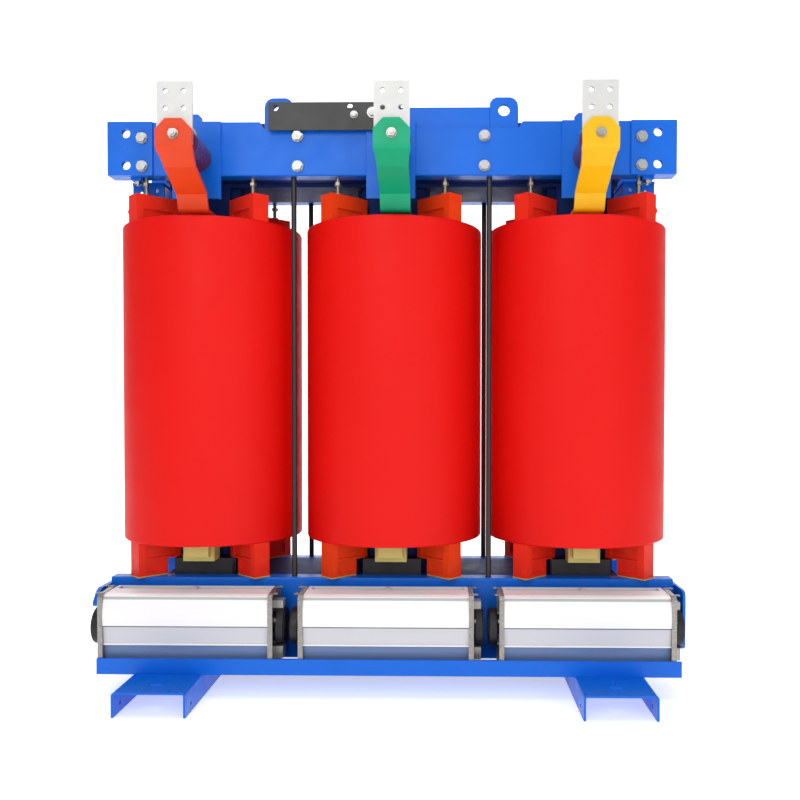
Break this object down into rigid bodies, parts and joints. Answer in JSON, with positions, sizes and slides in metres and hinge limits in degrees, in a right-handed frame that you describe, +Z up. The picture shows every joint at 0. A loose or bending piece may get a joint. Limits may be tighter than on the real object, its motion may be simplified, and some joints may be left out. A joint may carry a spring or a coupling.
{
  "type": "dry type transformer",
  "caption": "Cast-resin dry-type distribution transformer: red coil cylinders on a clamped blue steel frame, with cross-flow cooling fans along the front and channel feet.",
  "frame": {"origin": "centre of the footprint on the floor, under the middle limb", "axes": "+Z up, +X along the row of coils to the right as seen from the fans, +Y from the fans to the high-voltage side"},
  "size_m": [1.704, 0.948, 1.741],
  "materials": {
    "coil_red": "smooth cast epoxy, satin-gloss, red",
    "pad_red": "moulded resin block, red-orange",
    "lv_resin": "resin-sealed foil winding, straw colour",
    "fr4": "glass-epoxy laminate, straw yellow",
    "board_black": "black insulating block",
    "core_steel": "core laminations under dark blue varnish",
    "frame_blue": "gloss blue enamel on folded steel",
    "zinc": "zinc-plated fastener",
    "rod_black": "sleeved steel rod, black",
    "bar_orange": "bar in orange sleeving",
    "bar_green": "bar in green sleeving",
    "bar_yellow": "bar in yellow sleeving",
    "bar_black": "bar in black sleeving",
    "tinned": "tinned flat bar, matt",
    "maroon": "moulded post insulator, maroon",
    "fan_alu": "extruded aluminium, satin",
    "galv": "galvanised sheet",
    "motor": "motor shell, dark grey",
    "wheel": "thin aluminium impeller"
  },
  "bodies": {
    "transformer": {"core_limb_a": "core_steel", "hv_coil_a": "coil_red", "lv_coil_a": "lv_resin", "core_limb_b": "core_steel", "hv_coil_b": "coil_red", "lv_coil_b": "lv_resin", "core_limb_c": "core_steel", "hv_coil_c": "coil_red", "lv_coil_c": "lv_resin", "lv_bar_a": "bar_orange", "lv_bar_b": "bar_green", "lv_bar_c": "bar_yellow", "core_lower_yoke": "core_steel", "core_upper_yoke": "core_steel", "yoke_packing": "core_steel", "upper_clamp_front": "frame_blue", "upper_clamp_rear": "frame_blue", "lifting_plate_front": "frame_blue", "lifting_plate_rear": "frame_blue", "clamp_end_plates": "frame_blue", "lower_clamp_front": "frame_blue", "lower_clamp_rear": "frame_blue", "end_ties": "frame_blue", "tie_rods": "rod_black", "clamp_bolts": "zinc", "foot_left": "frame_blue", "foot_right": "frame_blue", "saddles": "frame_blue", "base_bolts": "zinc", "tap_links": "tinned", "upper_support_blocks": "pad_red", "lower_support_blocks": "pad_red", "support_shims": "fr4", "yoke_spacers": "board_black", "winding_end_blocks": "fr4", "jack_bolts": "zinc", "lv_terminals": "tinned", "insulator_plates": "frame_blue", "post_insulators": "maroon", "busbar_bolts": "zinc", "neutral_bar": "bar_black", "neutral_bolts": "zinc", "delta_leads": "coil_red", "fan_rail": "frame_blue", "fan_bracket_left": "frame_blue", "fan_bracket_right": "frame_blue", "fan_end_trays": "galv", "fan_motors": "motor", "fan_bearings": "motor", "fan_housing_1": "fan_alu", "fan_housing_2": "fan_alu", "fan_housing_3": "fan_alu"},
    "wheel_1": {"impeller_1": "wheel"},
    "wheel_2": {"impeller_2": "wheel"},
    "wheel_3": {"impeller_3": "wheel"}
  },
  "joints": [
    {"name": "fan_spin_1", "type": "hinge", "parent": "transformer", "child": "wheel_1", "pos_m": [-0.576, -0.254, 0.192], "axis": [1, 0, 0], "continuous": true},
    {"name": "fan_spin_2", "type": "hinge", "parent": "transformer", "child": "wheel_2", "pos_m": [-0.006, -0.254, 0.192], "axis": [1, 0, 0], "continuous": true},
    {"name": "fan_spin_3", "type": "hinge", "parent": "transformer", "child": "wheel_3", "pos_m": [0.564, -0.254, 0.192], "axis": [1, 0, 0], "continuous": true}
  ]
}
